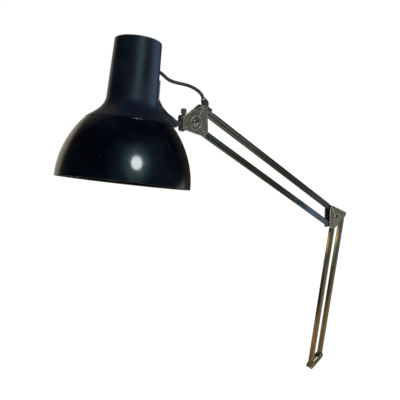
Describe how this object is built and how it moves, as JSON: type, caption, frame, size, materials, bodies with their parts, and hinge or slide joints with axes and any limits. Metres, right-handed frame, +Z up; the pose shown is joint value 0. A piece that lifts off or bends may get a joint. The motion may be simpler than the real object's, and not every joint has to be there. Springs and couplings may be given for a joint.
{
  "type": "architect lamp",
  "caption": "Balanced-arm desk lamp: two parallelogram arms of flat tube, knuckle plates at elbow and head, a bell shade on a tilting swivel bracket and a hollow foot pivot.",
  "frame": {"origin": "axis of the hollow foot pivot, half way between the two foot links", "axes": "+X in the plane of the arms from the shade's side to the elbow's side, +Y along the hollow foot pivot and away from the pictured side, +Z up"},
  "size_m": [0.6403, 0.1868, 0.7656],
  "materials": {
    "plate": "tarnished",
    "rivet": "worn",
    "bright": "bright",
    "fibre": "matte",
    "lower_bar": "aged bright",
    "upper_bar": "aged bright",
    "spring": "oiled",
    "brass": "satin",
    "black_plastic": "satin",
    "knob_plastic": "gloss",
    "lead": "satin",
    "shade_paint": "gloss",
    "neck_paint": "satin",
    "holder": "gloss",
    "bulb_cap": "satin",
    "bulb_glass": "frosted"
  },
  "bodies": {
    "foot": {"foot_link_near": "plate", "foot_link_far": "plate", "foot_bush": "rivet", "foot_rivet": "rivet", "foot_washers": "fibre"},
    "lower_front_arm": {"lower_front_bar": "lower_bar", "lower_spring": "spring", "lower_spring_anchor": "rivet"},
    "lower_rear_arm": {"lower_rear_bar": "lower_bar", "lower_cores": "lead"},
    "elbow": {"elbow_plate_near": "plate", "elbow_plate_far": "plate", "elbow_rivets": "rivet", "elbow_washers": "fibre", "elbow_spacer": "rivet", "elbow_bolt": "rivet", "elbow_nut": "rivet", "elbow_spring_post": "rivet", "elbow_cores": "lead"},
    "upper_top_arm": {"upper_top_bar": "upper_bar", "upper_cores": "lead", "lead_boot": "black_plastic", "boot_clip": "bright", "lead_by_boot": "lead"},
    "upper_low_arm": {"upper_low_bar": "upper_bar", "upper_spring": "spring", "upper_spring_anchor": "rivet"},
    "head": {"head_plate_near": "plate", "head_plate_far": "plate", "head_rivets": "rivet", "head_washers": "fibre", "head_spacer": "rivet", "head_bolt": "rivet", "head_nut": "rivet", "head_spring_post": "rivet", "tilt_rivet": "rivet"},
    "swivel_block": {"tilt_block": "black_plastic", "clamp_pad": "brass", "lead_middle": "lead"},
    "knob": {"clamp_screw": "rivet", "clamp_knob": "knob_plastic"},
    "shade": {"shade_bracket": "black_plastic", "bracket_spigot": "rivet", "spigot_clip": "bright", "bracket_screws": "rivet", "shade_dome": "shade_paint", "shade_neck": "neck_paint", "dome_screws": "rivet", "holder_stem": "brass", "holder_nut": "bright", "lamp_holder": "holder", "holder_contacts": "brass", "bulb_cap": "bulb_cap", "bulb_glass": "bulb_glass", "lead_grommet": "lead", "neck_lead": "lead", "lead_by_neck": "lead"}
  },
  "joints": [
    {"name": "lower_arm_lean", "type": "hinge", "parent": "foot", "child": "lower_front_arm", "pos_m": [0, 0, 0], "axis": [0, 1, 0], "range_deg": [-50, 30]},
    {"name": "lower_rear_pivot", "type": "hinge", "parent": "foot", "child": "lower_rear_arm", "pos_m": [0.02991, 0, 0.01395], "axis": [0, 1, 0], "range_deg": [-50, 30]},
    {"name": "elbow_level", "type": "hinge", "parent": "lower_front_arm", "child": "elbow", "pos_m": [0.03367, 0, 0.34335], "axis": [0, 1, 0], "range_deg": [-30, 50], "deforming": ["lower_spring"]},
    {"name": "upper_arm_rise", "type": "hinge", "parent": "elbow", "child": "upper_top_arm", "pos_m": [0.02014, 0, 0.38264], "axis": [0, 1, 0], "range_deg": [-65, 28]},
    {"name": "upper_low_pivot", "type": "hinge", "parent": "elbow", "child": "upper_low_arm", "pos_m": [0.02317, 0, 0.34425], "axis": [0, 1, 0], "range_deg": [-65, 28], "deforming": ["upper_spring"]},
    {"name": "head_level", "type": "hinge", "parent": "upper_top_arm", "child": "head", "pos_m": [-0.32691, 0, 0.64321], "axis": [0, 1, 0], "range_deg": [-28, 65], "deforming": ["lead_by_boot"]},
    {"name": "shade_tilt", "type": "hinge", "parent": "head", "child": "swivel_block", "pos_m": [-0.35939, 0, 0.62153], "axis": [0, 1, 0], "range_deg": [-40, 40], "deforming": ["lead_middle"]},
    {"name": "knob_turn", "type": "hinge", "parent": "swivel_block", "child": "knob", "pos_m": [-0.35939, 0, 0.638], "axis": [0, 0, 1], "continuous": true},
    {"name": "shade_swivel", "type": "hinge", "parent": "swivel_block", "child": "shade", "pos_m": [-0.35939, 0, 0.62703], "axis": [1, 0, 0], "range_deg": [-30, 60], "deforming": ["lead_by_neck"]}
  ],
  "couplings": [
    {"joint": "lower_rear_pivot", "follows": "lower_arm_lean", "ratio": 1},
    {"joint": "elbow_level", "follows": "lower_arm_lean", "ratio": -1},
    {"joint": "upper_low_pivot", "follows": "upper_arm_rise", "ratio": 1},
    {"joint": "head_level", "follows": "upper_arm_rise", "ratio": -1}
  ]
}
